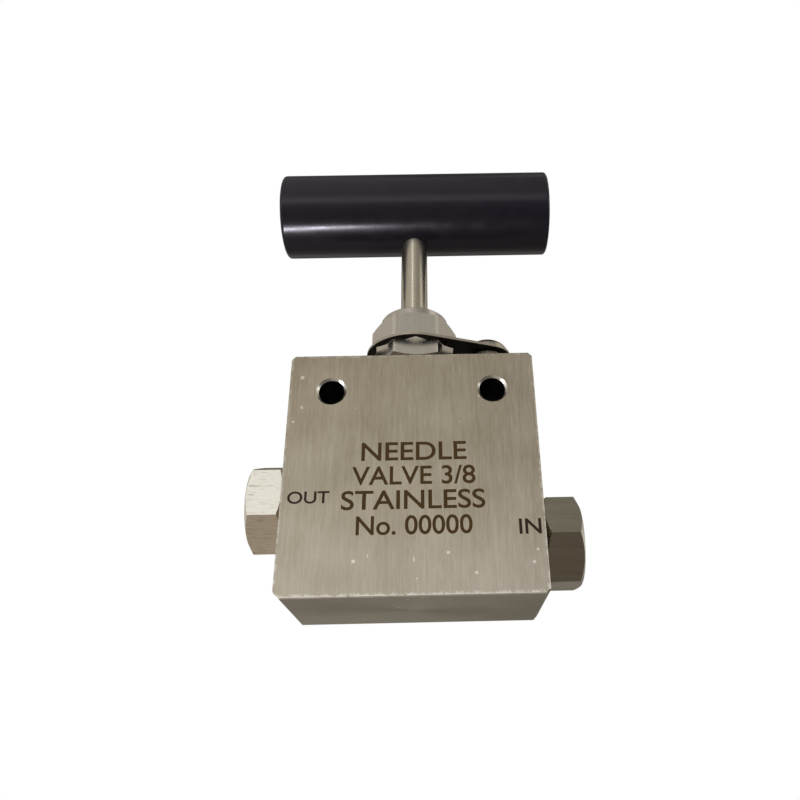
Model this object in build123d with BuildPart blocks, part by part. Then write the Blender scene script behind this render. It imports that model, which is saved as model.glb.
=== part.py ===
from build123d import *
import math
import os

# High pressure needle valve: a square block with two offset cone and thread ports,
# a needle that does not turn, a packing gland with a locking plate, and a T handle.
# Millimetres. The origin is the centre of the block's underside, +Z runs up the stem,
# -Y is the marked front face, the inlet is on +X and the outlet on -X.

# Block
body_width = 50.8
body_depth = 25.4
body_height = 50.8
corner_chamfer = 0.8
filed_chamfer = 1.3
edge_break = 0.2
bore_chamfer = 0.5

# Panel holes, through the block from front to back
panel_hole_radius = 2.65
panel_hole_spacing = 33.3
panel_hole_height = 42.3
panel_hole_chamfer = 0.48

# Ports for tube of 3/8 in outside diameter, measured inwards from the block's side
inlet_height = 12.7
outlet_height = 21.3
port_thread_radius = 7.15
port_thread_depth = 14.0
tube_socket_radius = 5.0
tube_socket_depth = 15.5
cone_half_angle = 30.0
passage_radius = 2.6

# Seat and chamber
orifice_radius = 2.2
seat_height = 17.5
chamber_radius = 4.4
chamber_floor = 18.1
seat_gap = 0.1

# Packing, stacked on the chamber's shoulder
packing_bore_radius = 5.5
packing_floor = 25.5
washer_thickness = 2.0
packing_ring_height = 2.2
gland_bore_floor = 37.0
gland_bore_radius = 8.0
stack_clearance = 0.05

# Packing gland and its hexagon
wrench_size = 17.0
gland_thread_pitch = 1.5
gland_hex_base = 53.1
gland_shoulder = 64.7
gland_top = 66.3
gland_boss_radius = 7.7
gland_turn = 4.0
follower_flange_radius = 7.5
sleeve_bore_roof = 56.0

# Stems and sleeve
stem_radius = 3.175
running_clearance = 0.05
sleeve_radius = 5.2
sleeve_length = 11.3
sleeve_lip = 1.5
sleeve_cavity_radius = 4.0
sleeve_floor_gap = 0.4
thrust_washer_thickness = 0.7
needle_head_radius = 3.9
needle_head_height = 1.8
needle_tip_radius = 1.0
sleeve_pin_radius = 0.75

# Locking plate, spacer and screw
plate_base = 57.0
plate_thickness = 0.6
plate_ring_radius = 10.9
plate_arm_radius = 5.3
screw_offset = 16.7
wrench_play = 0.3
spacer_radius = 3.9
screw_radius = 2.5
screw_pitch = 0.8
screw_head_radius = 4.75
screw_head_height = 2.75
screw_tip = 46.7
screw_hole_floor = 46.3

# Handle
handle_radius = 10.3
handle_length = 66.0
handle_height = 99.5
handle_offset = 0.5
handle_end_round = 0.8
stem_socket_top = 105.0
set_screw_radius = 2.5
stem_flat_depth = 0.5

# Gland nuts and collars, measured outwards from the block's side
nut_hex_start = 0.5
nut_hex_length = 7.5
nut_thread_pitch = 1.4
nut_thread_end = 8.6
nut_bore_radius = 4.9
outlet_nut_turn = 24.5
inlet_nut_turn = 2.7
collar_length = 5.2
collar_radius = 6.5
collar_bore_radius = 4.78

hex_corner = wrench_size / math.sqrt(3)
hex_face_radius = wrench_size / 2 - 0.35
hex_chamfer_slope = math.tan(math.radians(30))
follower_base = packing_floor + washer_thickness + 3 * packing_ring_height
follower_shoulder = gland_bore_floor + 0.3
gland_base = follower_shoulder + washer_thickness
cone_slope = math.tan(math.radians(cone_half_angle))
port_cone_end = tube_socket_depth + (tube_socket_radius - passage_radius) / cone_slope


def ridged(crest, root, pitch, start, end):
    """Points (distance along, radius) of a threaded stretch drawn as rings."""
    points = []
    for turn in range(int((end - start) / pitch)):
        at = start + turn * pitch
        points += [(at, root), (at + pitch * 0.5, crest)]
    return points + [(end, root)]


def hex_limits(start, end, end_radius=hex_face_radius):
    """Half outline (distance along, radius) of a hexagon's turned 30 degree chamfers."""
    return [
        (start, 0),
        (start, hex_face_radius),
        (start + (hex_corner - hex_face_radius) * hex_chamfer_slope, hex_corner),
        (end - (hex_corner - end_radius) * hex_chamfer_slope, hex_corner),
        (end, end_radius),
        (end, 0),
    ]


def ring_part(name, low, high, inner, outer, edge=0.15):
    """A plain turned ring round the stem, its outer edges broken."""
    with BuildPart() as ring:
        with BuildSketch(Plane.XY.offset(low)):
            Circle(outer)
            Circle(inner, mode=Mode.SUBTRACT)
        extrude(amount=high - low)
        rims = ring.edges().filter_by(GeomType.CIRCLE).filter_by(lambda e: e.radius > inner + 0.1)
        chamfer(rims, edge)
    save(ring, name)


def save(piece, name):
    piece.part.label = name
    export_step(piece.part, f"parts/{name}.step")


os.makedirs("parts", exist_ok=True)
sides = {"inlet": (1, inlet_height, inlet_nut_turn), "outlet": (-1, outlet_height, outlet_nut_turn)}

# Valve body
with BuildPart() as valve_body:
    with BuildSketch(Plane.XZ.offset(-body_depth / 2)):
        with Locations((0, body_height / 2)):
            Rectangle(body_width, body_height)
    extrude(amount=body_depth)
    corners = valve_body.edges().filter_by(Axis.Y).sort_by(Axis.X).sort_by(Axis.Z)
    chamfer(corners[0], filed_chamfer)
    chamfer(corners[1:], corner_chamfer)
    chamfer(valve_body.faces().sort_by(Axis.Y)[0].edges(), edge_break)
    chamfer(valve_body.faces().sort_by(Axis.Y)[-1].edges(), edge_break)

    # Panel holes
    with BuildSketch(Plane.XZ.offset(-body_depth / 2)):
        with Locations((0, panel_hole_height)):
            with GridLocations(panel_hole_spacing, 0, 2, 1):
                Circle(panel_hole_radius)
    extrude(amount=body_depth, mode=Mode.SUBTRACT)
    rims = valve_body.edges().filter_by(GeomType.CIRCLE)
    chamfer(rims, panel_hole_chamfer)

    # Gland bore, packing bore, chamber, seat and orifice, all about the stem's axis
    with BuildSketch(Plane.XZ):
        with BuildLine():
            Polyline(
                (0, inlet_height),
                (orifice_radius, inlet_height),
                (orifice_radius, seat_height),
                (orifice_radius + (chamber_floor - seat_height) * cone_slope, chamber_floor),
                (chamber_radius, chamber_floor),
                (chamber_radius, packing_floor),
                (packing_bore_radius, packing_floor),
                (packing_bore_radius, gland_bore_floor),
                (gland_bore_radius, gland_bore_floor),
                (gland_bore_radius, body_height - bore_chamfer),
                (gland_bore_radius + bore_chamfer, body_height),
                (0, body_height),
                close=True,
            )
        make_face()
    revolve(axis=Axis.Z, mode=Mode.SUBTRACT)

    # Ports: thread, tube socket, cone and passage
    for side, height, _ in sides.values():
        mouth = (side * body_width / 2, 0, height)
        with BuildSketch(Plane(origin=mouth, x_dir=(side, 0, 0), z_dir=(0, -side, 0))):
            with BuildLine():
                Polyline(
                    (0, 0),
                    (0, port_thread_radius + 0.5),
                    (-0.5, port_thread_radius),
                    (-port_thread_depth, port_thread_radius),
                    (-port_thread_depth, tube_socket_radius),
                    (-tube_socket_depth, tube_socket_radius),
                    (-port_cone_end, passage_radius),
                    (-body_width / 2, passage_radius),
                    (-body_width / 2, 0),
                    close=True,
                )
            make_face()
        revolve(axis=Axis(mouth, (side, 0, 0)), mode=Mode.SUBTRACT)

    # Tapped hole for the locking screw
    with BuildSketch(Plane.XY.offset(screw_hole_floor)):
        with Locations((screw_offset, 0)):
            Circle(screw_radius + stack_clearance)
    extrude(amount=body_height - screw_hole_floor, mode=Mode.SUBTRACT)
save(valve_body, "valve_body")

# Packing: a washer, three rings and the follower that the gland presses down
ring_part(
    "packing_washer",
    packing_floor,
    packing_floor + washer_thickness,
    stem_radius + running_clearance,
    packing_bore_radius - stack_clearance,
)
for place, ring_name in enumerate(("lower", "middle", "upper")):
    ring_base = packing_floor + washer_thickness + place * packing_ring_height
    ring_part(
        f"packing_ring_{ring_name}",
        ring_base,
        ring_base + packing_ring_height,
        stem_radius + running_clearance / 2,
        packing_bore_radius - stack_clearance / 2,
    )

with BuildPart() as packing_follower:
    with BuildSketch(Plane.XZ):
        with BuildLine():
            Polyline(
                (stem_radius + running_clearance, follower_base),
                (packing_bore_radius - stack_clearance, follower_base),
                (packing_bore_radius - stack_clearance, follower_shoulder),
                (follower_flange_radius, follower_shoulder),
                (follower_flange_radius, gland_base),
                (stem_radius + running_clearance, gland_base),
                close=True,
            )
        make_face()
    revolve(axis=Axis.Z)
save(packing_follower, "packing_follower")

# Packing gland: hexagon above, ringed thread below, bored for the sleeve and the stem
with BuildPart() as packing_gland:
    with BuildSketch(Plane.XY.offset(gland_hex_base)):
        RegularPolygon(wrench_size / 2, 6, major_radius=False, rotation=gland_turn)
    extrude(amount=gland_shoulder - gland_hex_base)
    with BuildSketch(Plane.XZ):
        with BuildLine():
            limits = hex_limits(gland_hex_base, gland_shoulder, gland_boss_radius)
            Polyline(*[(r, z) for z, r in limits], close=True)
        make_face()
    revolve(axis=Axis.Z, mode=Mode.INTERSECT)
    with BuildSketch(Plane.XY.offset(gland_shoulder)):
        Circle(gland_boss_radius)
    extrude(amount=gland_top - gland_shoulder)
    chamfer(packing_gland.edges().sort_by(Axis.Z)[-1], edge_break)
    thread_crest = gland_bore_radius - stack_clearance
    thread = ridged(
        thread_crest, thread_crest - 0.8, gland_thread_pitch, gland_base + 1.0, gland_hex_base - 1.0
    )
    with BuildSketch(Plane.XZ):
        with BuildLine():
            Polyline(
                (0, gland_base),
                (thread_crest - 0.8, gland_base),
                *[(r, z) for z, r in thread],
                (thread_crest - 0.8, gland_hex_base),
                (0, gland_hex_base),
                close=True,
            )
        make_face()
    revolve(axis=Axis.Z)
    with BuildSketch(Plane.XZ):
        with BuildLine():
            Polyline(
                (0, gland_base),
                (sleeve_radius + running_clearance, gland_base),
                (sleeve_radius + running_clearance, sleeve_bore_roof),
                (stem_radius + running_clearance, sleeve_bore_roof + 1.2),
                (stem_radius + running_clearance, gland_top - 0.5),
                (stem_radius + running_clearance + 0.5, gland_top),
                (0, gland_top),
                close=True,
            )
        make_face()
    revolve(axis=Axis.Z, mode=Mode.SUBTRACT)
save(packing_gland, "packing_gland")

# Heights of the stem train, from the sleeve's lip upwards
sleeve_base = gland_base + sleeve_floor_gap
sleeve_top = sleeve_base + sleeve_length
lower_washer_base = sleeve_base + sleeve_lip
head_base = lower_washer_base + thrust_washer_thickness + stack_clearance
head_top = head_base + needle_head_height
upper_washer_base = head_top + stack_clearance
upper_stem_base = upper_washer_base + thrust_washer_thickness + stack_clearance
pin_height = (upper_stem_base + sleeve_top) / 2

# Lower stem: cone tip, plain shank and the head that the sleeve lifts
with BuildPart() as lower_stem:
    tip_height = seat_height + seat_gap - (orifice_radius - needle_tip_radius) / cone_slope
    cone_top = seat_height + seat_gap + (stem_radius - orifice_radius) / cone_slope
    with BuildSketch(Plane.XZ):
        with BuildLine():
            Polyline(
                (0, tip_height),
                (needle_tip_radius, tip_height),
                (stem_radius, cone_top),
                (stem_radius, head_base),
                (needle_head_radius, head_base),
                (needle_head_radius, head_top),
                (0, head_top),
                close=True,
            )
        make_face()
    revolve(axis=Axis.Z)
save(lower_stem, "lower_stem")

ring_part(
    "thrust_washer_lower",
    lower_washer_base,
    lower_washer_base + thrust_washer_thickness,
    stem_radius + running_clearance,
    sleeve_cavity_radius - stack_clearance,
    edge=0.1,
)
ring_part(
    "thrust_washer_upper",
    upper_washer_base,
    upper_washer_base + thrust_washer_thickness,
    1.5,
    sleeve_cavity_radius - stack_clearance,
    edge=0.1,
)

# Stem sleeve: a threaded cup whose lip hooks under the needle's head
with BuildPart() as stem_sleeve:
    with BuildSketch(Plane.XZ):
        with BuildLine():
            Polyline(
                (stem_radius + running_clearance, sleeve_base),
                (sleeve_radius, sleeve_base),
                (sleeve_radius, sleeve_top),
                (sleeve_cavity_radius, sleeve_top),
                (sleeve_cavity_radius, lower_washer_base),
                (stem_radius + running_clearance, lower_washer_base),
                close=True,
            )
        make_face()
    revolve(axis=Axis.Z)
    with BuildSketch(Plane.XZ.offset(-sleeve_radius)):
        with Locations((0, pin_height)):
            Circle(sleeve_pin_radius)
    extrude(amount=2 * sleeve_radius, mode=Mode.SUBTRACT)
save(stem_sleeve, "stem_sleeve")

with BuildPart() as sleeve_pin:
    pin_length = 2 * sleeve_radius - 0.6
    with BuildSketch(Plane.XZ.offset(-pin_length / 2)):
        with Locations((0, pin_height)):
            Circle(sleeve_pin_radius)
    extrude(amount=pin_length)
    chamfer(sleeve_pin.edges().filter_by(GeomType.CIRCLE), 0.15)
save(sleeve_pin, "sleeve_pin")

# Upper stem: threaded foot in the sleeve, polished shank, flat for the set screw
stem_top = stem_socket_top - 0.5
with BuildPart() as upper_stem:
    with BuildSketch(Plane.XZ):
        with BuildLine():
            Polyline(
                (0, upper_stem_base),
                (sleeve_cavity_radius - stack_clearance, upper_stem_base),
                (sleeve_cavity_radius - stack_clearance, sleeve_top - 0.6),
                (stem_radius, sleeve_top),
                (stem_radius, stem_top - 0.5),
                (stem_radius - 0.5, stem_top),
                (0, stem_top),
                close=True,
            )
        make_face()
    revolve(axis=Axis.Z)
    with BuildSketch(Plane.XZ.offset(-sleeve_radius)):
        with Locations((0, pin_height)):
            Circle(sleeve_pin_radius)
    extrude(amount=2 * sleeve_radius, mode=Mode.SUBTRACT)
    flat_length = 2 * (stem_top - handle_height)
    with Locations((0, stem_radius, handle_height)):
        Box(2 * stem_radius, 2 * stem_flat_depth, flat_length, mode=Mode.SUBTRACT)
save(upper_stem, "upper_stem")

# Handle bar, cross bored from below for the stem and tapped from the back
with BuildPart() as handle_bar:
    with BuildSketch(Plane.YZ.offset(handle_offset - handle_length / 2)):
        with Locations((0, handle_height)):
            Circle(handle_radius)
    extrude(amount=handle_length)
    fillet(handle_bar.edges().filter_by(GeomType.CIRCLE), handle_end_round)
    with BuildSketch(Plane.XY.offset(handle_height - handle_radius - 1)):
        Circle(stem_radius + running_clearance)
    extrude(amount=stem_socket_top - handle_height + handle_radius + 1, mode=Mode.SUBTRACT)
    with BuildSketch(Plane.XZ):
        with Locations((0, handle_height)):
            Circle(set_screw_radius)
    extrude(amount=-handle_radius - 1, mode=Mode.SUBTRACT)
save(handle_bar, "handle_bar")

with BuildPart() as handle_set_screw:
    screw_seat = stem_radius - stem_flat_depth + stack_clearance
    with BuildSketch(Plane.XZ.offset(-screw_seat)):
        with Locations((0, handle_height)):
            Circle(set_screw_radius - stack_clearance)
    extrude(amount=-6.0)
    chamfer(handle_set_screw.edges().filter_by(GeomType.CIRCLE), 0.4)
    with BuildSketch(Plane.XZ.offset(-screw_seat - 6.0)):
        with Locations((0, handle_height)):
            RegularPolygon(1.25, 6, major_radius=False)
    extrude(amount=2.5, mode=Mode.SUBTRACT)
save(handle_set_screw, "handle_set_screw")

# Locking plate: teardrop outline, twelve point hole for the gland, hole for the screw
with BuildPart() as locking_plate:
    with BuildSketch(Plane.XY.offset(plate_base)):
        with BuildLine():
            lean = math.asin((plate_ring_radius - plate_arm_radius) / screw_offset)
            ring_touch = plate_ring_radius * Vector(math.sin(lean), math.cos(lean))
            arm_touch = Vector(screw_offset, 0) + plate_arm_radius * Vector(
                math.sin(lean), math.cos(lean)
            )
            ring_foot = Vector(ring_touch.X, -ring_touch.Y)
            arm_foot = Vector(arm_touch.X, -arm_touch.Y)
            Line(ring_touch, arm_touch)
            ThreePointArc(arm_touch, (screw_offset + plate_arm_radius, 0), arm_foot)
            Line(arm_foot, ring_foot)
            ThreePointArc(ring_foot, (-plate_ring_radius, 0), ring_touch)
        make_face()
        for turn in (gland_turn, gland_turn + 30):
            RegularPolygon(
                (wrench_size + wrench_play) / 2,
                6,
                major_radius=False,
                rotation=turn,
                mode=Mode.SUBTRACT,
            )
        with Locations((screw_offset, 0)):
            Circle(screw_radius + 0.2, mode=Mode.SUBTRACT)
    extrude(amount=plate_thickness)
save(locking_plate, "locking_plate")

with BuildPart() as locking_spacer:
    with BuildSketch(Plane.XY.offset(body_height)):
        with Locations((screw_offset, 0)):
            Circle(spacer_radius)
            Circle(screw_radius + 0.15, mode=Mode.SUBTRACT)
    extrude(amount=plate_base - body_height)
    rims = locking_spacer.edges().filter_by(GeomType.CIRCLE).filter_by(lambda e: e.radius > 3)
    chamfer(rims, 0.4)
save(locking_spacer, "locking_spacer")

# Locking screw: button head with a hexagon socket
with BuildPart() as locking_screw:
    head_base_height = plate_base + plate_thickness
    screw_axis = Axis((screw_offset, 0, 0), (0, 0, 1))
    crest = screw_radius
    thread = ridged(crest, crest - 0.4, screw_pitch, screw_tip + 0.4, body_height + 2.0)
    with BuildSketch(Plane.XZ.shift_origin((screw_offset, 0, 0))):
        with BuildLine():
            dome_start = (screw_head_radius, head_base_height + 0.9)
            dome_end = (2.2, head_base_height + screw_head_height)
            Polyline(
                dome_end,
                (0, head_base_height + screw_head_height),
                (0, screw_tip),
                (crest - 0.6, screw_tip),
                *[(r, z) for z, r in thread],
                (crest, body_height + 2.4),
                (crest, head_base_height),
                (screw_head_radius, head_base_height),
                dome_start,
            )
            RadiusArc(dome_start, dome_end, -3.8)
        make_face()
    revolve(axis=screw_axis)
    with BuildSketch(Plane.XY.offset(head_base_height + screw_head_height)):
        with Locations((screw_offset, 0)):
            RegularPolygon(1.5, 6, major_radius=False)
    extrude(amount=-1.6, mode=Mode.SUBTRACT)
save(locking_screw, "locking_screw")

# Gland nuts and collars, one of each in either port
for port, (side, height, turn) in sides.items():
    mouth = (side * body_width / 2, 0, height)
    across = Plane(origin=mouth, x_dir=(0, 1, 0), z_dir=(side, 0, 0))
    along = Plane(origin=mouth, x_dir=(side, 0, 0), z_dir=(0, -side, 0))
    port_axis = Axis(mouth, (side, 0, 0))
    nut_end = nut_hex_start + nut_hex_length
    shank_crest = port_thread_radius - stack_clearance
    with BuildPart() as gland_nut:
        with BuildSketch(across.offset(nut_hex_start)):
            RegularPolygon(wrench_size / 2, 6, major_radius=False, rotation=side * turn)
        extrude(amount=nut_hex_length)
        with BuildSketch(along):
            with BuildLine():
                Polyline(*hex_limits(nut_hex_start, nut_end), close=True)
            make_face()
        revolve(axis=port_axis, mode=Mode.INTERSECT)
        with BuildSketch(along):
            with BuildLine():
                Polyline(
                    (-nut_thread_end, 0),
                    (-nut_thread_end, shank_crest - 0.8),
                    *ridged(
                        shank_crest, shank_crest - 0.7, nut_thread_pitch, -nut_thread_end + 0.8, -0.6
                    ),
                    (nut_hex_start, shank_crest - 0.7),
                    (nut_hex_start, 0),
                    close=True,
                )
            make_face()
        revolve(axis=port_axis)
        with BuildSketch(along):
            with BuildLine():
                Polyline(
                    (-nut_thread_end, 0),
                    (-nut_thread_end, nut_bore_radius + 0.8),
                    (-nut_thread_end + 0.8, nut_bore_radius),
                    (nut_end - 0.4, nut_bore_radius),
                    (nut_end, nut_bore_radius + 0.4),
                    (nut_end, 0),
                    close=True,
                )
            make_face()
        revolve(axis=port_axis, mode=Mode.SUBTRACT)
    save(gland_nut, f"gland_nut_{port}")

    with BuildPart() as collar:
        with BuildSketch(along):
            with BuildLine():
                collar_outer = -nut_thread_end - stack_clearance
                collar_inner = collar_outer - collar_length
                Polyline(
                    (collar_inner, collar_bore_radius),
                    (collar_inner, collar_radius - 0.3),
                    (collar_inner + 0.3, collar_radius),
                    (collar_outer - 1.2, collar_radius),
                    (collar_outer, collar_radius - 1.2),
                    (collar_outer, collar_bore_radius),
                    close=True,
                )
            make_face()
        revolve(axis=port_axis)
    save(collar, f"collar_{port}")
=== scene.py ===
import math

import bpy
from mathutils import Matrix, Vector


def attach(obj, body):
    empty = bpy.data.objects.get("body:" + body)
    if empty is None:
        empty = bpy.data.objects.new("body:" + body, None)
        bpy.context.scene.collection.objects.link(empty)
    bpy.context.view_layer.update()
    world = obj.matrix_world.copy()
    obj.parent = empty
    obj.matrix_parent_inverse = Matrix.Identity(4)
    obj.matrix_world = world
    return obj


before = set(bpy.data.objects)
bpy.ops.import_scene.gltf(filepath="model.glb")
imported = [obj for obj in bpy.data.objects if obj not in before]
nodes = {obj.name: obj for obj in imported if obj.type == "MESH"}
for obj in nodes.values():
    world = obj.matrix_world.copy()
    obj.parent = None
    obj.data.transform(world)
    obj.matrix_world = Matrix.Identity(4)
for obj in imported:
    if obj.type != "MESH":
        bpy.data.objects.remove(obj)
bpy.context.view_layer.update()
bpy.ops.object.select_all(action="DESELECT")

# ---- Camera: stands in front of and a little below the valve and looks up at it,
# so that the block's underside, its marked face and the underside of the T handle all show.
bpy.ops.object.camera_add(
    location=(0.00587, -0.14934, -0.02993), rotation=(2.04577, 0.02127, -0.00069)
)
camera = bpy.context.object
camera.name = "camera"
camera.data.sensor_width = 36
camera.data.lens = 33.59
camera.data.shift_x = -0.0603
camera.data.shift_y = -0.0031
camera.data.clip_start = 0.001
camera.data.clip_end = 20
bpy.context.scene.camera = camera

# ---- Studio: a pale floor that the block stands on, seen from above only, a white backdrop
# and soft lights. Steel shows what is round it, so the room's light is graded by height.
bpy.context.scene.view_settings.view_transform = "Standard"
bpy.ops.mesh.primitive_plane_add(size=3, location=(0, 0, 0))
floor = bpy.context.object
floor.name = "floor"
for ray in ("diffuse", "glossy", "transmission", "shadow"):
    setattr(floor, f"visible_{ray}", False)
floor_paint = bpy.data.materials.new("floor_paint")
floor_paint.use_nodes = True
tree = floor_paint.node_tree
paint = tree.nodes["Principled BSDF"]
paint.inputs["Base Color"].default_value = (0.42, 0.42, 0.41, 1)
paint.inputs["Roughness"].default_value = 0.9
paint.inputs["Emission Color"].default_value = (0.9, 0.9, 0.89, 1)
paint.inputs["Emission Strength"].default_value = 0.5
underneath = tree.nodes.new("ShaderNodeBsdfTransparent")
side_seen = tree.nodes.new("ShaderNodeNewGeometry")
one_sided = tree.nodes.new("ShaderNodeMixShader")
tree.links.new(side_seen.outputs["Backfacing"], one_sided.inputs["Fac"])
tree.links.new(paint.outputs["BSDF"], one_sided.inputs[1])
tree.links.new(underneath.outputs["BSDF"], one_sided.inputs[2])
tree.links.new(one_sided.outputs["Shader"], tree.nodes["Material Output"].inputs["Surface"])
floor.data.materials.append(floor_paint)

world = bpy.data.worlds.new("room")
bpy.context.scene.world = world
world.use_nodes = True
tree = world.node_tree


def graded(tree, value, stops):
    """A ColorRamp over degrees, each stop an angle and a colour; its colour socket."""
    low, high = stops[0][0], stops[-1][0]
    spread = tree.nodes.new("ShaderNodeMapRange")
    spread.inputs["From Min"].default_value = math.radians(low)
    spread.inputs["From Max"].default_value = math.radians(high)
    ramp = tree.nodes.new("ShaderNodeValToRGB")
    tree.links.new(value, spread.inputs["Value"])
    tree.links.new(spread.outputs["Result"], ramp.inputs["Fac"])
    for place, (angle, colour) in enumerate(stops):
        at = (angle - low) / (high - low)
        if place in (0, len(stops) - 1):
            stop = ramp.color_ramp.elements[0 if place == 0 else -1]
            stop.position = at
        else:
            stop = ramp.color_ramp.elements.new(at)
        stop.color = (*colour, 1)
    return ramp.outputs["Color"]


heading = tree.nodes.new("ShaderNodeTexCoord")
split = tree.nodes.new("ShaderNodeSeparateXYZ")
tree.links.new(heading.outputs["Generated"], split.inputs["Vector"])
angles = {}
for name, operation, inputs in (
    ("back", "MULTIPLY", (split.outputs["Y"], None)),
    ("round", "ARCTAN2", (split.outputs["X"], "back")),
    ("up", "ARCSINE", (split.outputs["Z"], None)),
    ("above", "GREATER_THAN", ("up", None)),
):
    node = tree.nodes.new("ShaderNodeMath")
    node.operation = operation
    node.inputs[1].default_value = -1 if name == "back" else 0
    for place, value in enumerate(inputs):
        if value is not None:
            source = angles[value] if isinstance(value, str) else value
            tree.links.new(source, node.inputs[place])
    angles[name] = node.outputs["Value"]
height_light = graded(
    tree,
    angles["up"],
    (
        (-90, (0.44, 0.38, 0.31)),
        (-62, (0.48, 0.44, 0.37)),
        (-38, (0.34, 0.31, 0.26)),
        (-20, (0.42, 0.38, 0.32)),
        (-8, (0.60, 0.57, 0.50)),
        (4, (1.08, 1.07, 1.02)),
        (12, (0.92, 0.90, 0.85)),
        (18, (0.64, 0.60, 0.53)),
        (24, (0.50, 0.45, 0.37)),
        (31, (0.48, 0.43, 0.35)),
        (38, (0.50, 0.46, 0.39)),
        (60, (0.36, 0.34, 0.30)),
        (90, (0.25, 0.24, 0.21)),
    ),
)
upper_round = graded(
    tree,
    angles["round"],
    (
        (-180, (0.2,) * 3),
        (-140, (0.4,) * 3),
        (-118, (1.15,) * 3),
        (-104, (0.75,) * 3),
        (-84, (0.95,) * 3),
        (-40, (1.0,) * 3),
        (-22, (1.1,) * 3),
        (-14, (1.28,) * 3),
        (-7, (1.05,) * 3),
        (0, (1.0,) * 3),
        (14, (0.72,) * 3),
        (46, (0.5,) * 3),
        (58, (1.1,) * 3),
        (68, (1.7,) * 3),
        (84, (1.0,) * 3),
        (104, (0.7,) * 3),
        (128, (1.0,) * 3),
        (150, (0.3,) * 3),
        (180, (0.2,) * 3),
    ),
)
lower_round = graded(
    tree,
    angles["round"],
    (
        (-180, (0.50,) * 3),
        (-165, (0.62,) * 3),
        (-120, (0.62,) * 3),
        (-90, (0.95,) * 3),
        (-30, (0.75,) * 3),
        (-8, (0.60,) * 3),
        (12, (0.32,) * 3),
        (90, (0.34,) * 3),
        (165, (0.44,) * 3),
        (180, (0.50,) * 3),
    ),
)
sight = tree.nodes.new("ShaderNodeLightPath")
layers = []
for mixing in ("MIX", "MULTIPLY", "MIX"):
    node = tree.nodes.new("ShaderNodeMix")
    node.data_type = "RGBA"
    node.blend_type = mixing
    node.inputs["Factor"].default_value = 1
    layers.append(node)
side, room, backdrop = layers
tree.links.new(angles["above"], side.inputs["Factor"])
tree.links.new(lower_round, side.inputs["A"])
tree.links.new(upper_round, side.inputs["B"])
tree.links.new(height_light, room.inputs["A"])
tree.links.new(side.outputs["Result"], room.inputs["B"])
tree.links.new(sight.outputs["Is Camera Ray"], backdrop.inputs["Factor"])
tree.links.new(room.outputs["Result"], backdrop.inputs["A"])
backdrop.inputs["B"].default_value = (1, 1, 1, 1)
tree.links.new(backdrop.outputs["Result"], tree.nodes["Background"].inputs["Color"])


def lamp(name, place, aim, size, watts, colour=(1, 1, 1), depth=None, only=None):
    """A soft lamp pointed at a place, square or, with a depth, oblong. It lights everything but
    isn't mirrored in the steel, or it lights and shows in only the one piece that it names.
    """
    bpy.ops.object.light_add(type="AREA", location=place)
    light = bpy.context.object
    light.name = name
    light.rotation_euler = (Vector(aim) - Vector(place)).to_track_quat("-Z", "Y").to_euler()
    light.data.size = size
    if depth:
        light.data.shape = "RECTANGLE"
        light.data.size_y = depth
    light.data.energy = watts
    light.data.color = colour
    light.visible_glossy = only is not None
    if only:
        lit = bpy.data.collections.new(f"{name}_lit")
        lit.objects.link(nodes[only])
        light.light_linking.receiver_collection = lit
    light.select_set(False)


lamp("window", (-0.55, -0.45, 0.55), (0, 0, 0.05), 0.5, 6.0, (1.0, 0.98, 0.94))
lamp("ceiling", (0.25, -0.15, 0.8), (0, 0, 0.05), 0.6, 5.0)
lamp("rear", (0.3, 0.6, 0.35), (0, 0, 0.05), 0.5, 3.0)
# a bright line low along the left of the handle, which the bar mirrors from below
lamp(
    "handle_lamp", (-0.138, -0.1435, -0.36), (-0.02, -0.005, 0.09), 0.17, 1.0,
    depth=0.024, only="handle_bar",
)
# the upright flat of the outlet nut, and one narrow line up the stem
lamp(
    "nut_lamp", (-0.27, -0.72, 0.47), (-0.03, 0, 0.02), 0.3, 0.2,
    colour=(0.85, 0.97, 1.0), only="gland_nut_outlet",
)
lamp(
    "stem_lamp", (-0.123, -0.494, 0.396), (0, 0, 0.078), 0.06, 0.055,
    depth=0.3, only="upper_stem",
)
# a glint in the countersinks of the panel holes
lamp("edge_lamp", (-0.46, -0.13, -0.12), (0, -0.0127, 0.0423), 0.2, 0.5, only="valve_body")

# ---- Block: sawn from cold drawn 316 bar, milled square, its broad faces brushed up and down
# on a belt and its edges broken with a file, so small bright nicks and rubs are left on them.


def effect(name, ins, outs):
    """An empty node group with named sockets, its input and output nodes made."""
    group = bpy.data.node_groups.new(name, "ShaderNodeTree")
    for socket, kind, value in ins:
        made = group.interface.new_socket(socket, in_out="INPUT", socket_type=kind)
        if value is not None:
            made.default_value = value
    for socket, kind in outs:
        group.interface.new_socket(socket, in_out="OUTPUT", socket_type=kind)
    return group, group.nodes.new("NodeGroupInput"), group.nodes.new("NodeGroupOutput")


def link(tree, *pairs):
    """Join sockets, each pair an output and the input it feeds."""
    for out, into in pairs:
        tree.links.new(out, into)


def sum_of(tree, operation, a, b=None, clamp=False):
    """A Math node on two sockets or numbers; its result socket."""
    node = tree.nodes.new("ShaderNodeMath")
    node.operation = operation
    node.use_clamp = clamp
    for place, value in enumerate((a, b)):
        if value is None:
            continue
        if isinstance(value, (int, float)):
            node.inputs[place].default_value = value
        else:
            tree.links.new(value, node.inputs[place])
    return node.outputs["Value"]


block_wide, block_deep, block_tall = 0.0508, 0.0254, 0.0508
marked_face = -block_deep / 2
panel_hole_x, panel_hole_z = 0.01665, 0.0423
panel_hole_radius, countersink_radius = 0.00267, 0.00315

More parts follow.
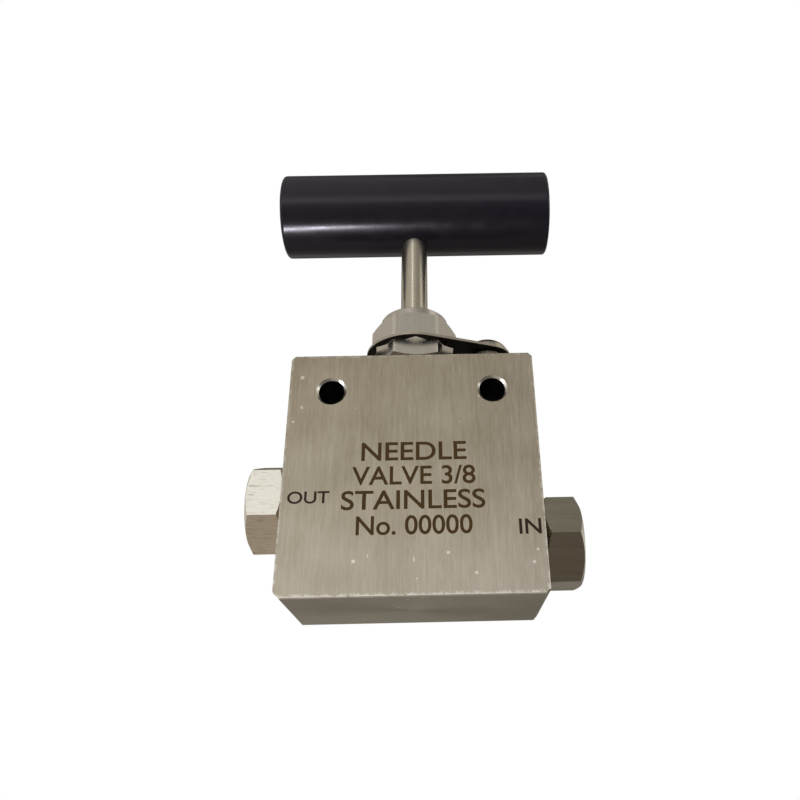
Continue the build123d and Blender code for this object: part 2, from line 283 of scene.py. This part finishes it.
# Brushing: fine lines along one direction, in two widths, that come and go
brushing, given, made = effect(
    "brushing",
    (
        ("Vector", "NodeSocketVector", None),
        ("Fineness", "NodeSocketFloat", 1.0),
    ),
    (("Lines", "NodeSocketFloat"), ("Cloud", "NodeSocketFloat")),
)
# the vector comes with the brushed direction on Z
layers = []
for scale, detail in ((1.0, 2.0), (0.34, 3.0)):
    stretch = brushing.nodes.new("ShaderNodeVectorMath")
    stretch.operation = "MULTIPLY"
    stretch.inputs[1].default_value = (5200 * scale, 5200 * scale, 330 * scale)
    noise = brushing.nodes.new("ShaderNodeTexNoise")
    noise.inputs["Detail"].default_value = detail
    noise.inputs["Roughness"].default_value = 0.6
    link(
        brushing,
        (given.outputs["Vector"], stretch.inputs[0]),
        (stretch.outputs[0], noise.inputs["Vector"]),
        (given.outputs["Fineness"], noise.inputs["Scale"]),
    )
    layers.append(noise.outputs["Fac"])
both = sum_of(brushing, "ADD", layers[0], layers[1])
lines = sum_of(brushing, "MULTIPLY", both, 0.5)
cloud = brushing.nodes.new("ShaderNodeTexNoise")
cloud.inputs["Scale"].default_value = 90
cloud.inputs["Detail"].default_value = 3
link(
    brushing,
    (lines, made.inputs["Lines"]),
    (given.outputs["Vector"], cloud.inputs["Vector"]),
    (cloud.outputs["Fac"], made.inputs["Cloud"]),
)

# Nicks: small bright knocks and short fine scratches, thrown here and there over a face
nicks, given, made = effect(
    "nicks",
    (
        ("Vector", "NodeSocketVector", None),
        ("Scale", "NodeSocketFloat", 300.0),
        ("Amount", "NodeSocketFloat", 0.2),
    ),
    (("Mask", "NodeSocketFloat"),),
)
parts = []
for stretch, share, width in (((1, 1, 1), 1.0, 0.14), ((2.2, 2.2, 0.5), 1.3, 0.11)):
    pulled = nicks.nodes.new("ShaderNodeMapping")
    pulled.inputs["Rotation"].default_value = (0.0, 0.35 * share, 0.2)
    pulled.inputs["Scale"].default_value = stretch
    cells = nicks.nodes.new("ShaderNodeTexVoronoi")
    lot = nicks.nodes.new("ShaderNodeSeparateColor")
    link(
        nicks,
        (given.outputs["Vector"], pulled.inputs["Vector"]),
        (pulled.outputs["Vector"], cells.inputs["Vector"]),
        (given.outputs["Scale"], cells.inputs["Scale"]),
        (cells.outputs["Color"], lot.inputs["Color"]),
    )
    chosen = sum_of(nicks, "LESS_THAN", lot.outputs["Red"], given.outputs["Amount"])
    reach = sum_of(nicks, "MULTIPLY", lot.outputs["Green"], width)
    near = sum_of(nicks, "LESS_THAN", cells.outputs["Distance"], reach)
    parts.append(sum_of(nicks, "MULTIPLY", chosen, near))
# they gather in patches, where the valve is handled
unhandled = 0.5
handled = nicks.nodes.new("ShaderNodeTexNoise")
handled.inputs["Scale"].default_value = 55
link(nicks, (given.outputs["Vector"], handled.inputs["Vector"]))
patch = sum_of(nicks, "GREATER_THAN", handled.outputs["Fac"], unhandled)
spots = sum_of(nicks, "MULTIPLY", sum_of(nicks, "MAXIMUM", *parts), patch)
link(nicks, (spots, made.inputs["Mask"]))


def steel(
    name, colour, deep, rough, turn=(0, 0, 0), fineness=1.0, grain=0.35, mark=0.03, spin=0.0
):
    """A stainless finish: brushed lines in colour, roughness and height, clouding and nicks.
    Turn lays the lines, and spin is the shine's turn across them."""
    material = bpy.data.materials.new(name)
    material.use_nodes = True
    tree = material.node_tree
    shader = tree.nodes["Principled BSDF"]
    shader.inputs["Metallic"].default_value = 1.0
    shader.inputs["Anisotropic"].default_value = 0.5
    shader.inputs["Anisotropic Rotation"].default_value = spin
    where = tree.nodes.new("ShaderNodeTexCoord")
    laid = tree.nodes.new("ShaderNodeMapping")
    laid.inputs["Rotation"].default_value = turn
    lines = tree.nodes.new("ShaderNodeGroup")
    lines.node_tree = brushing
    lines.inputs["Fineness"].default_value = fineness
    knocks = tree.nodes.new("ShaderNodeGroup")
    knocks.node_tree = nicks
    knocks.inputs["Amount"].default_value = mark
    tone = tree.nodes.new("ShaderNodeMix")
    tone.data_type = "RGBA"
    tone.inputs["A"].default_value = (*deep, 1)
    tone.inputs["B"].default_value = (*colour, 1)
    link(
        tree,
        (where.outputs["Object"], laid.inputs["Vector"]),
        (laid.outputs["Vector"], lines.inputs["Vector"]),
        (where.outputs["Object"], knocks.inputs["Vector"]),
    )
    spread = tree.nodes.new("ShaderNodeMapRange")
    spread.inputs["From Min"].default_value = 0.36
    spread.inputs["From Max"].default_value = 0.64
    mixed = sum_of(tree, "MULTIPLY", lines.outputs["Cloud"], 0.35)
    mixed = sum_of(tree, "ADD", sum_of(tree, "MULTIPLY", lines.outputs["Lines"], 0.65), mixed)
    link(tree, (mixed, spread.inputs["Value"]), (spread.outputs["Result"], tone.inputs["Factor"]))
    nicked = tree.nodes.new("ShaderNodeMix")
    nicked.data_type = "RGBA"
    nicked.inputs["B"].default_value = (0.9, 0.88, 0.83, 1)
    link(
        tree,
        (tone.outputs["Result"], nicked.inputs["A"]),
        (knocks.outputs["Mask"], nicked.inputs["Factor"]),
        (nicked.outputs["Result"], shader.inputs["Base Color"]),
    )
    remapped = tree.nodes.new("ShaderNodeMapRange")
    remapped.inputs["From Min"].default_value = 0.3
    remapped.inputs["From Max"].default_value = 0.7
    remapped.inputs["To Min"].default_value = rough * 0.82
    remapped.inputs["To Max"].default_value = rough * 1.2
    link(tree, (lines.outputs["Lines"], remapped.inputs["Value"]))
    link(tree, (remapped.outputs["Result"], shader.inputs["Roughness"]))
    bump = tree.nodes.new("ShaderNodeBump")
    bump.inputs["Strength"].default_value = grain
    bump.inputs["Distance"].default_value = 0.00003
    raised = sum_of(tree, "ADD", lines.outputs["Lines"], knocks.outputs["Mask"])
    link(tree, (raised, bump.inputs["Height"]), (bump.outputs["Normal"], shader.inputs["Normal"]))
    return material


def finish(material, *names):
    """Give CAD nodes their material."""
    for name in names:
        nodes[name].data.materials.clear()
        nodes[name].data.materials.append(material)


def overlay(material, mask, colour, rough=None):
    """Lay another colour, and roughness, over a finish where the mask is white."""
    tree = material.node_tree
    shader = tree.nodes["Principled BSDF"]
    under = shader.inputs["Base Color"].links[0].from_socket
    over = tree.nodes.new("ShaderNodeMix")
    over.data_type = "RGBA"
    over.inputs["B"].default_value = (*colour, 1)
    link(
        tree,
        (under, over.inputs["A"]),
        (mask, over.inputs["Factor"]),
        (over.outputs["Result"], shader.inputs["Base Color"]),
    )
    if rough is not None:
        under = shader.inputs["Roughness"].links[0].from_socket
        blurred = tree.nodes.new("ShaderNodeMix")
        blurred.inputs["B"].default_value = rough
        link(
            tree,
            (under, blurred.inputs["A"]),
            (mask, blurred.inputs["Factor"]),
            (blurred.outputs["Result"], shader.inputs["Roughness"]),
        )


def round_hole(tree, x, z, radius):
    """White inside a cylinder that runs front to back, mirrored in x."""
    where = tree.nodes.new("ShaderNodeTexCoord")
    apart = tree.nodes.new("ShaderNodeSeparateXYZ")
    link(tree, (where.outputs["Object"], apart.inputs["Vector"]))
    across = sum_of(tree, "SUBTRACT", sum_of(tree, "ABSOLUTE", apart.outputs["X"]), x)
    up = sum_of(tree, "SUBTRACT", apart.outputs["Z"], z)
    far = sum_of(
        tree, "ADD", sum_of(tree, "MULTIPLY", across, across), sum_of(tree, "MULTIPLY", up, up)
    )
    return sum_of(tree, "LESS_THAN", sum_of(tree, "SQRT", far), radius)


def facing(tree, axis, low, high):
    """White where the surface's own normal has that much of an axis in it."""
    where = tree.nodes.new("ShaderNodeTexCoord")
    apart = tree.nodes.new("ShaderNodeSeparateXYZ")
    link(tree, (where.outputs["Normal"], apart.inputs["Vector"]))
    above = sum_of(tree, "GREATER_THAN", apart.outputs[axis], low)
    return sum_of(tree, "MULTIPLY", above, sum_of(tree, "LESS_THAN", apart.outputs[axis], high))


# Rubbed edges: a ragged bright line where a file has broken the edges of a square block
rubbed, given, made = effect(
    "rubbed_edges",
    (
        ("Vector", "NodeSocketVector", None),
        ("Middle", "NodeSocketVector", None),
        ("Half Size", "NodeSocketVector", None),
        ("Width", "NodeSocketFloat", 0.0006),
    ),
    (("Mask", "NodeSocketFloat"),),
)
steps = []
for operation in ("SUBTRACT", "ABSOLUTE", "SUBTRACT"):
    node = rubbed.nodes.new("ShaderNodeVectorMath")
    node.operation = operation
    steps.append(node)
apart = rubbed.nodes.new("ShaderNodeSeparateXYZ")
ragged = rubbed.nodes.new("ShaderNodeTexNoise")
ragged.inputs["Scale"].default_value = 900
ragged.inputs["Detail"].default_value = 3
link(
    rubbed,
    (given.outputs["Vector"], steps[0].inputs[0]),
    (given.outputs["Middle"], steps[0].inputs[1]),
    (steps[0].outputs[0], steps[1].inputs[0]),
    (given.outputs["Half Size"], steps[2].inputs[0]),
    (steps[1].outputs[0], steps[2].inputs[1]),
    (steps[2].outputs[0], apart.inputs["Vector"]),
    (given.outputs["Vector"], ragged.inputs["Vector"]),
)
inset = [apart.outputs[axis] for axis in "XYZ"]
lesser = sum_of(rubbed, "MINIMUM", inset[0], inset[1])
greater = sum_of(rubbed, "MAXIMUM", inset[0], inset[1])
edge_gap = sum_of(rubbed, "MAXIMUM", lesser, sum_of(rubbed, "MINIMUM", greater, inset[2]))
# the rub is widest where the noise is high, and is none where it is under this
unrubbed, swing, thinnest, strongest = 0.32, 4, 0.000001, 0.8
spread = sum_of(rubbed, "SUBTRACT", ragged.outputs["Fac"], unrubbed)
spread = sum_of(rubbed, "MULTIPLY", spread, given.outputs["Width"])
spread = sum_of(rubbed, "MAXIMUM", sum_of(rubbed, "MULTIPLY", spread, swing), thinnest)
fade = sum_of(rubbed, "SUBTRACT", 1.0, sum_of(rubbed, "DIVIDE", edge_gap, spread), clamp=True)
link(rubbed, (sum_of(rubbed, "MULTIPLY", fade, strongest), made.inputs["Mask"]))

block_steel = steel("block_steel", (0.64, 0.60, 0.53), (0.43, 0.39, 0.32), 0.34, mark=0.7)
tree = block_steel.node_tree
edge_rub = tree.nodes.new("ShaderNodeGroup")
edge_rub.node_tree = rubbed
edge_rub.inputs["Middle"].default_value = (0, 0, block_tall / 2)
edge_rub.inputs["Half Size"].default_value = (block_wide / 2, block_deep / 2, block_tall / 2)
where = tree.nodes.new("ShaderNodeTexCoord")
link(tree, (where.outputs["Object"], edge_rub.inputs["Vector"]))
overlay(block_steel, edge_rub.outputs["Mask"], (0.95, 0.93, 0.88), 0.3)
# the bottom edge of the marked face has been dragged over benches and is worn bright, and the band
# is partly a painted highlight
apart = tree.nodes.new("ShaderNodeSeparateXYZ")
wear_and_highlight_noise = tree.nodes.new("ShaderNodeTexNoise")
wear_and_highlight_noise.inputs["Scale"].default_value = 1400
wear_and_highlight_noise.inputs["Detail"].default_value = 3
link(
    tree,
    (where.outputs["Object"], apart.inputs["Vector"]),
    (where.outputs["Object"], wear_and_highlight_noise.inputs["Vector"]),
)
tallest_wear_and_highlight = 0.0028
reach = sum_of(tree, "POWER", wear_and_highlight_noise.outputs["Fac"], 2)
reach = sum_of(tree, "MULTIPLY", reach, tallest_wear_and_highlight)
bottom_wear_and_highlight = sum_of(
    tree, "SUBTRACT", 1.0, sum_of(tree, "DIVIDE", apart.outputs["Z"], reach), clamp=True
)
bottom_wear_and_highlight = sum_of(tree, "MULTIPLY", bottom_wear_and_highlight, facing(tree, "Y", -1.1, -0.5))
overlay(block_steel, bottom_wear_and_highlight, (1.0, 0.98, 0.94), 0.4)
# the panel holes are countersunk and drilled; the countersinks are painted bright, a painted
# highlight, and the bores painted black, a painted shade
for radius, colour, rough in (
    (countersink_radius, (0.82, 0.80, 0.76), 0.26),
    (panel_hole_radius, (0.03, 0.03, 0.035), 0.6),
):
    inside = round_hole(tree, panel_hole_x, panel_hole_z, radius)
    overlay(block_steel, inside, colour, rough)
finish(block_steel, "valve_body")

# ---- Markings: laser etched into the front face, dark brown and with no depth to speak of.
# Generic words stand where a maker's own codes would be.
etched = bpy.data.materials.new("etched_oxide")
etched.use_nodes = True
tree = etched.node_tree
shader = tree.nodes["Principled BSDF"]
shader.inputs["Metallic"].default_value = 0.0
shader.inputs["Specular IOR Level"].default_value = 0.3
shader.inputs["Roughness"].default_value = 0.55
where = tree.nodes.new("ShaderNodeTexCoord")
burn = tree.nodes.new("ShaderNodeTexNoise")
burn.inputs["Scale"].default_value = 3500
burn.inputs["Detail"].default_value = 3
oxide = tree.nodes.new("ShaderNodeMix")
oxide.data_type = "RGBA"
oxide.inputs["A"].default_value = (0.030, 0.014, 0.002, 1)
oxide.inputs["B"].default_value = (0.075, 0.042, 0.010, 1)
link(
    tree,
    (where.outputs["Object"], burn.inputs["Vector"]),
    (burn.outputs["Fac"], oxide.inputs["Factor"]),
    (oxide.outputs["Result"], shader.inputs["Base Color"]),
)

etched_black = etched.copy()
etched_black.name = "etched_black"
darker = etched_black.node_tree.nodes[oxide.name]
darker.inputs["A"].default_value = (0.014, 0.007, 0.004, 1)
darker.inputs["B"].default_value = (0.035, 0.018, 0.010, 1)

# each has its name and words, where it starts and ends across the face, and its foot and top
marking_lines = (
    ("marking_first", "NEEDLE", (-0.0100, 0.0108), (0.0266, 0.0305)),
    ("marking_second", "VALVE 3/8", (-0.0117, 0.0124), (0.0215, 0.0254)),
    ("marking_third", "STAINLESS", (-0.0136, 0.0141), (0.0165, 0.0204)),
    ("marking_fourth", "No. 00000", (-0.0106, 0.0115), (0.0115, 0.0153)),
    ("marking_outlet", "OUT", (-0.0240, -0.0159), (0.0180, 0.0205)),
    ("marking_inlet", "IN", (0.0203, 0.0245), (0.0112, 0.0142)),
)
# the letters are 0.02 mm thick, from the face outwards
proud, flattened = 0.00001, 0.01
for name, words, across, up in marking_lines:
    bpy.ops.object.text_add(rotation=(math.radians(90), 0, 0))
    marking = bpy.context.object
    marking.name = name
    marking.data.body = words
    marking.data.offset = 0.012
    marking.data.extrude = 0.001
    bpy.ops.object.convert(target="MESH")
    bpy.ops.object.transform_apply(location=True, rotation=True, scale=True)
    xs = [v.co.x for v in marking.data.vertices]
    zs = [v.co.z for v in marking.data.vertices]
    wide = (across[1] - across[0]) / (max(xs) - min(xs))
    tall = (up[1] - up[0]) / (max(zs) - min(zs))
    marking.scale = (wide, flattened, tall)
    marking.location = (across[0] - min(xs) * wide, marked_face - proud, up[0] - min(zs) * tall)
    bpy.ops.object.transform_apply(location=True, rotation=True, scale=True)
    marking.data.materials.append(etched_black if words in ("OUT", "IN") else etched)
    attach(marking, "block")
    marking.select_set(False)

# ---- Port gland nuts and collars: cut from hexagon bar, so the drawn lines run along the axis.
# The nuts hold the collars on the tube and are left finger tight with no tube fitted.
along = (0, math.radians(90), 0)
drawn_bright = steel(
    "drawn_bright", (0.98, 0.89, 0.77), (0.72, 0.63, 0.52), 0.34,
    turn=along, fineness=0.7, grain=0.8, mark=0.03, spin=0.25,
)
tree = drawn_bright.node_tree
# the flat that faces forwards is painted lighter, a painted highlight; the one below it is as
# drawn
forward_flat_highlight = sum_of(tree, "MULTIPLY", facing(tree, "Z", -0.1, 0.4), 0.7)
overlay(drawn_bright, forward_flat_highlight, (0.95, 0.95, 0.93), 0.34)
where = tree.nodes.new("ShaderNodeTexCoord")
pulled = tree.nodes.new("ShaderNodeMapping")
pulled.inputs["Scale"].default_value = (0.3, 2.6, 2.6)
torn = tree.nodes.new("ShaderNodeTexNoise")
torn.inputs["Scale"].default_value = 1500
torn.inputs["Detail"].default_value = 4
dark = tree.nodes.new("ShaderNodeMapRange")
dark.inputs["From Min"].default_value = 0.56
dark.inputs["From Max"].default_value = 0.74
dark.inputs["To Max"].default_value = 0.75
link(
    tree,
    (where.outputs["Object"], pulled.inputs["Vector"]),
    (pulled.outputs["Vector"], torn.inputs["Vector"]),
    (torn.outputs["Fac"], dark.inputs["Value"]),
)
overlay(drawn_bright, dark.outputs["Result"], (0.42, 0.36, 0.28), 0.5)
finish(drawn_bright, "gland_nut_outlet", "collar_outlet")
drawn_olive = steel(
    "drawn_olive", (0.65, 0.62, 0.52), (0.52, 0.49, 0.40), 0.28,
    turn=along, fineness=0.5, grain=0.3, mark=0.02, spin=0.25,
)
tree = drawn_olive.node_tree
# the downward flats of the inlet nut are painted browner, a painted shade
lower_flats_shade = sum_of(tree, "MULTIPLY", facing(tree, "Z", -1.1, -0.3), 0.45)
overlay(drawn_olive, lower_flats_shade, (0.36, 0.26, 0.20), 0.3)
finish(drawn_olive, "gland_nut_inlet", "collar_inlet")

# ---- Packing gland and what it presses on: turned from bar, its hexagon left bright.
# The washer and follower are steel and the three rings between them are PTFE.
gland_steel = steel(
    "gland_steel", (0.72, 0.705, 0.685), (0.60, 0.585, 0.56), 0.26,
    turn=(0, 0, 0), fineness=0.6, grain=0.2, mark=0.03, spin=0.25,
)


def corner_highlight(tree, axis, middle, start, end):
    """Ragged white, a painted highlight, along a hexagon's corners: far enough from the axis that
    it is turned about.
    """
    where = tree.nodes.new("ShaderNodeTexCoord")
    apart = tree.nodes.new("ShaderNodeSeparateXYZ")
    link(tree, (where.outputs["Object"], apart.inputs["Vector"]))
    legs = []
    for letter, centre in zip("XYZ", middle):
        if letter != axis:
            leg = sum_of(tree, "SUBTRACT", apart.outputs[letter], centre)
            legs.append(sum_of(tree, "MULTIPLY", leg, leg))
    far = sum_of(tree, "SQRT", sum_of(tree, "ADD", *legs))
    ragged = tree.nodes.new("ShaderNodeTexNoise")
    ragged.inputs["Scale"].default_value = 1100
    link(tree, (where.outputs["Object"], ragged.inputs["Vector"]))
    far = sum_of(tree, "ADD", far, sum_of(tree, "MULTIPLY", ragged.outputs["Fac"], 0.0002))
    remapped = tree.nodes.new("ShaderNodeMapRange")
    remapped.inputs["From Min"].default_value = start
    remapped.inputs["From Max"].default_value = end
    link(tree, (far, remapped.inputs["Value"]))
    return remapped.outputs["Result"]


tree = gland_steel.node_tree
# painted highlights: the turned chamfers above and below the hexagon are painted lighter and
# smoother
overlay(gland_steel, facing(tree, "Z", 0.25, 0.95), (0.80, 0.77, 0.73), 0.2)
overlay(gland_steel, facing(tree, "Z", -0.95, -0.25), (0.80, 0.77, 0.73), 0.25)
# a painted highlight along the hexagon's corners
overlay(gland_steel, corner_highlight(tree, "Z", (0, 0, 0), 0.00955, 0.0099), (0.90, 0.88, 0.84), 0.3)
finish(gland_steel, "packing_gland", "packing_washer", "packing_follower", "stem_sleeve")

ptfe = bpy.data.materials.new("packing_ptfe")
ptfe.use_nodes = True
tree = ptfe.node_tree
shader = tree.nodes["Principled BSDF"]
shader.inputs["Roughness"].default_value = 0.45
shader.inputs["Subsurface Weight"].default_value = 0.1
where = tree.nodes.new("ShaderNodeTexCoord")
waxy = tree.nodes.new("ShaderNodeTexNoise")
waxy.inputs["Scale"].default_value = 900
white = tree.nodes.new("ShaderNodeMix")
white.data_type = "RGBA"
white.inputs["A"].default_value = (0.82, 0.82, 0.79, 1)
white.inputs["B"].default_value = (0.9, 0.9, 0.88, 1)
link(
    tree,
    (where.outputs["Object"], waxy.inputs["Vector"]),
    (waxy.outputs["Fac"], white.inputs["Factor"]),
    (white.outputs["Result"], shader.inputs["Base Color"]),
)
finish(ptfe, "packing_ring_lower", "packing_ring_middle", "packing_ring_upper")

# ---- Locking plate, spacer and screw: the plate is stamped from sheet, drops over the gland's
# hexagon and is held down on a turned spacer, so the gland can't work loose.
plate_steel = steel(
    "plate_steel", (0.66, 0.63, 0.59), (0.54, 0.51, 0.47), 0.3,
    turn=along, fineness=0.7, grain=0.3, mark=0.03, spin=0.0,
)
screw_steel = steel(
    "screw_steel", (0.60, 0.56, 0.50), (0.46, 0.42, 0.36), 0.3,
    turn=(0, 0, 0), fineness=0.9, grain=0.2, mark=0.03, spin=0.25,
)
# its underside is painted near black and rougher, a painted shade
overlay(plate_steel, facing(plate_steel.node_tree, "Z", -1.1, -0.6), (0.035, 0.03, 0.026), 0.5)
finish(plate_steel, "locking_plate")
finish(screw_steel, "locking_spacer", "locking_screw", "sleeve_pin")

# ---- Stems: ground and polished 316, the lower one with its cone tip, the upper one pinned
# in the threaded sleeve. They are polished lengthwise after grinding, so hardly a line shows.
stem_steel = steel(
    "stem_steel", (0.71, 0.68, 0.61), (0.66, 0.63, 0.56), 0.25,
    grain=0.02, mark=0.0, spin=0.25,
)
finish(stem_steel, "upper_stem", "lower_stem", "thrust_washer_lower", "thrust_washer_upper")

# ---- Handle: a bar of aluminium, turned, blasted and anodised black, its end rims rounded over.
# It is cross bored for the stem and held by a set screw in its back.
handle_black = bpy.data.materials.new("handle_black")
handle_black.use_nodes = True
tree = handle_black.node_tree
shader = tree.nodes["Principled BSDF"]
shader.inputs["Metallic"].default_value = 0.0
shader.inputs["Specular IOR Level"].default_value = 0.45
shader.inputs["Specular Tint"].default_value = (0.92, 0.88, 1.0, 1)
where = tree.nodes.new("ShaderNodeTexCoord")
film = tree.nodes.new("ShaderNodeTexNoise")
film.inputs["Scale"].default_value = 260
film.inputs["Detail"].default_value = 4
dye = tree.nodes.new("ShaderNodeMix")
dye.data_type = "RGBA"
dye.inputs["A"].default_value = (0.007, 0.0065, 0.012, 1)
dye.inputs["B"].default_value = (0.012, 0.011, 0.018, 1)
gloss = tree.nodes.new("ShaderNodeMapRange")
gloss.inputs["From Min"].default_value = 0.3
gloss.inputs["From Max"].default_value = 0.7
gloss.inputs["To Min"].default_value = 0.18
gloss.inputs["To Max"].default_value = 0.24
link(
    tree,
    (where.outputs["Object"], film.inputs["Vector"]),
    (film.outputs["Fac"], dye.inputs["Factor"]),
    (dye.outputs["Result"], shader.inputs["Base Color"]),
    (film.outputs["Fac"], gloss.inputs["Value"]),
    (gloss.outputs["Result"], shader.inputs["Roughness"]),
)
finish(handle_black, "handle_bar", "handle_set_screw")
